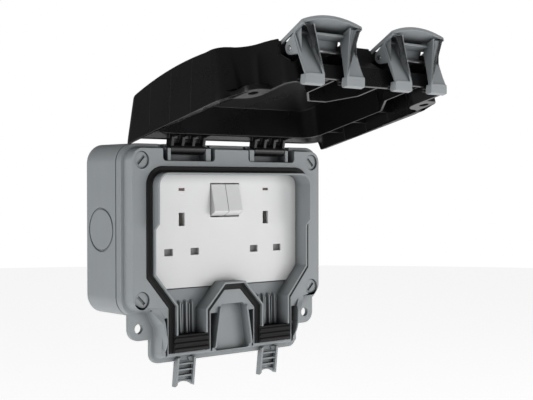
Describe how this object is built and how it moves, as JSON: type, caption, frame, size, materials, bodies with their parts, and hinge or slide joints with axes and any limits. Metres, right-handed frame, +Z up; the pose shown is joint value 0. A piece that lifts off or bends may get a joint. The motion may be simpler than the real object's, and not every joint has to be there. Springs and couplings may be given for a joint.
{
  "type": "weatherproof twin switched socket",
  "caption": "Surface weatherproof box holding a twin switched socket, with a deep hinged lid, rubber seals, cable glands and snap latches.",
  "frame": {"origin": "on the wall plane, at the centre of the rear box's back face", "axes": "+X to the right as seen from the front, +Y into the wall, +Z up; the front faces -Y"},
  "size_m": [0.177, 0.1879, 0.235],
  "materials": {
    "grey_box": "satin moulded thermoplastic, mid grey",
    "black_lid": "glossy moulded thermoplastic, black",
    "black_rubber": "matt black rubber",
    "white_plate": "white urea moulding, soft gloss",
    "neon": "red translucent lens, unlit",
    "inner_white": "white moulded housing",
    "shutter_grey": "grey moulded slide",
    "brass": "plain brass",
    "steel": "plain steel"
  },
  "bodies": {
    "housing": {"rear_box": "grey_box", "box_seal": "black_rubber", "front_frame": "grey_box", "lid_seal": "black_rubber", "cable_gland_left": "black_rubber", "cable_gland_right": "black_rubber", "cable_guide_left": "grey_box", "cable_guide_right": "grey_box", "socket_plate": "white_plate", "neon_lens_left": "neon", "neon_lens_right": "neon", "socket_base": "inner_white", "rocker_pin": "steel", "neutral_bar": "brass", "earth_bar": "brass", "line_clip_left": "brass", "line_clip_right": "brass", "line_bar": "brass", "terminal_screws": "brass", "shutter_spring_left": "steel", "shutter_spring_right": "steel", "switch_plunger_left": "inner_white", "switch_plunger_right": "inner_white", "plate_screws": "steel", "hinge_pin_left": "steel", "hinge_pin_right": "steel"},
    "lid": {"lid": "black_lid", "latch_pin_left": "steel", "latch_pin_right": "steel"},
    "latch_left": {"latch_left": "grey_box"},
    "latch_right": {"latch_right": "grey_box"},
    "rocker_left": {"rocker_left": "white_plate"},
    "rocker_right": {"rocker_right": "white_plate"},
    "shutter_left": {"shutter_left": "shutter_grey"},
    "shutter_right": {"shutter_right": "shutter_grey"},
    "cover_screw_top_left": {"cover_screw_top_left": "grey_box"},
    "cover_screw_top_right": {"cover_screw_top_right": "grey_box"},
    "cover_screw_bottom_left": {"cover_screw_bottom_left": "grey_box"},
    "cover_screw_bottom_right": {"cover_screw_bottom_right": "grey_box"}
  },
  "joints": [
    {"name": "lid_hinge", "type": "hinge", "parent": "housing", "child": "lid", "pos_m": [0, -0.0415, 0.054], "axis": [1, 0, 0], "range_deg": [-12, 103.65]},
    {"name": "latch_left_hinge", "type": "hinge", "parent": "lid", "child": "latch_left", "pos_m": [-0.0375, -0.17344, 0.10817], "axis": [1, 0, 0], "range_deg": [-25, 6]},
    {"name": "latch_right_hinge", "type": "hinge", "parent": "lid", "child": "latch_right", "pos_m": [0.0375, -0.17344, 0.10817], "axis": [1, 0, 0], "range_deg": [-25, 6]},
    {"name": "rocker_left_rock", "type": "hinge", "parent": "housing", "child": "rocker_left", "pos_m": [-0.0063, -0.0335, 0.019], "axis": [1, 0, 0], "range_deg": [0, 8]},
    {"name": "rocker_right_rock", "type": "hinge", "parent": "housing", "child": "rocker_right", "pos_m": [0.0063, -0.0335, 0.019], "axis": [1, 0, 0], "range_deg": [0, 8]},
    {"name": "shutter_left_slide", "type": "slide", "parent": "housing", "child": "shutter_left", "axis": [0, 0, -1], "range_m": [0, 0.0062], "stiffness_N_per_m": 60, "springref_m": -0.003, "deforming": ["shutter_spring_left"]},
    {"name": "shutter_right_slide", "type": "slide", "parent": "housing", "child": "shutter_right", "axis": [0, 0, -1], "range_m": [0, 0.0062], "stiffness_N_per_m": 60, "springref_m": -0.003, "deforming": ["shutter_spring_right"]},
    {"name": "cover_screw_top_left_turn", "type": "hinge", "parent": "housing", "child": "cover_screw_top_left", "pos_m": [-0.0759, -0.045, 0.04605], "axis": [0, 1, 0], "range_deg": [0, 90]},
    {"name": "cover_screw_top_right_turn", "type": "hinge", "parent": "housing", "child": "cover_screw_top_right", "pos_m": [0.0759, -0.045, 0.04605], "axis": [0, 1, 0], "range_deg": [0, 90]},
    {"name": "cover_screw_bottom_left_turn", "type": "hinge", "parent": "housing", "child": "cover_screw_bottom_left", "pos_m": [-0.0759, -0.045, -0.04605], "axis": [0, 1, 0], "range_deg": [0, 90]},
    {"name": "cover_screw_bottom_right_turn", "type": "hinge", "parent": "housing", "child": "cover_screw_bottom_right", "pos_m": [0.0759, -0.045, -0.04605], "axis": [0, 1, 0], "range_deg": [0, 90]}
  ]
}
